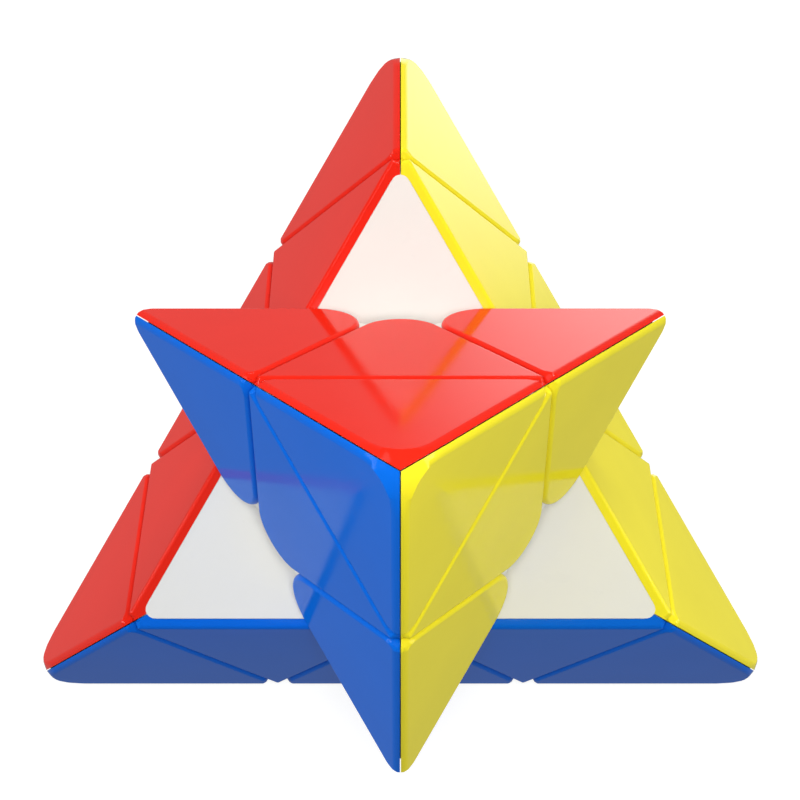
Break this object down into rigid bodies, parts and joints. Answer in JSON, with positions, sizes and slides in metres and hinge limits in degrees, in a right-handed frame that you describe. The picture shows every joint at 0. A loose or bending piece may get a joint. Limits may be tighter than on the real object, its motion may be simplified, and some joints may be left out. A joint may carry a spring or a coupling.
{
  "type": "pyramid twisty puzzle",
  "caption": "Tetrahedral twisting puzzle with glossy coloured facets over white pieces, its top layer stored turned, around a sprung core.",
  "frame": {"origin": "centre of the core, where the four turning axes cross, which is also the centre of the pyramid's volume", "axes": "+Z along the top layer's turning axis, out through the top vertex, with the puzzle standing on its lower face towards -Z; +Y towards the back vertex of the base, +X to the right"},
  "size_m": [0.09, 0.0873, 0.0744],
  "materials": {
    "red": "glossy red ABS",
    "blue": "glossy blue ABS",
    "yellow": "glossy yellow ABS",
    "green": "glossy green ABS",
    "white": "satin white ABS",
    "core": "satin black plastic",
    "screw": "machined steel",
    "spring": "drawn spring steel"
  },
  "bodies": {
    "frame": {"axial_back_body": "white", "axial_back_facet_green": "green", "axial_back_facet_red": "red", "axial_back_facet_yellow": "yellow", "axial_left_body": "white", "axial_left_facet_blue": "blue", "axial_left_facet_green": "green", "axial_left_facet_red": "red", "axial_right_body": "white", "axial_right_facet_blue": "blue", "axial_right_facet_green": "green", "axial_right_facet_yellow": "yellow", "axial_screw_back": "screw", "axial_screw_left": "screw", "axial_screw_right": "screw", "axial_screw_top": "screw", "axial_spring_back": "spring", "axial_spring_left": "spring", "axial_spring_right": "spring", "axial_spring_top": "spring", "core": "core", "edge_blue_green_body": "white", "edge_blue_green_facet_blue": "blue", "edge_blue_green_facet_green": "green", "edge_green_red_body": "white", "edge_green_red_facet_green": "green", "edge_green_red_facet_red": "red", "edge_green_yellow_body": "white", "edge_green_yellow_facet_green": "green", "edge_green_yellow_facet_yellow": "yellow"},
    "top_layer": {"axial_top_body": "white", "axial_top_facet_blue": "blue", "axial_top_facet_red": "red", "axial_top_facet_yellow": "yellow", "edge_blue_red_body": "white", "edge_blue_red_facet_blue": "blue", "edge_blue_red_facet_red": "red", "edge_blue_yellow_body": "white", "edge_blue_yellow_facet_blue": "blue", "edge_blue_yellow_facet_yellow": "yellow", "edge_red_yellow_body": "white", "edge_red_yellow_facet_red": "red", "edge_red_yellow_facet_yellow": "yellow"},
    "tip_top": {"tip_top_base": "white", "tip_top_shell_blue": "blue", "tip_top_shell_red": "red", "tip_top_shell_yellow": "yellow"},
    "tip_back": {"tip_back_base": "white", "tip_back_shell_green": "green", "tip_back_shell_red": "red", "tip_back_shell_yellow": "yellow"},
    "tip_left": {"tip_left_base": "white", "tip_left_shell_blue": "blue", "tip_left_shell_green": "green", "tip_left_shell_red": "red"},
    "tip_right": {"tip_right_base": "white", "tip_right_shell_blue": "blue", "tip_right_shell_green": "green", "tip_right_shell_yellow": "yellow"}
  },
  "joints": [
    {"name": "top_layer_turn", "type": "hinge", "parent": "frame", "child": "top_layer", "pos_m": [0, 0, 0], "axis": [0, 0, 1], "continuous": true},
    {"name": "tip_top_turn", "type": "hinge", "parent": "top_layer", "child": "tip_top", "pos_m": [0, 0, 0], "axis": [0, 0, 1], "continuous": true},
    {"name": "tip_back_turn", "type": "hinge", "parent": "frame", "child": "tip_back", "pos_m": [0, 0, 0], "axis": [0, 0.9428, -0.3333], "continuous": true},
    {"name": "tip_left_turn", "type": "hinge", "parent": "frame", "child": "tip_left", "pos_m": [0, 0, 0], "axis": [-0.8165, -0.4714, -0.3333], "continuous": true},
    {"name": "tip_right_turn", "type": "hinge", "parent": "frame", "child": "tip_right", "pos_m": [0, 0, 0], "axis": [0.8165, -0.4714, -0.3333], "continuous": true}
  ]
}
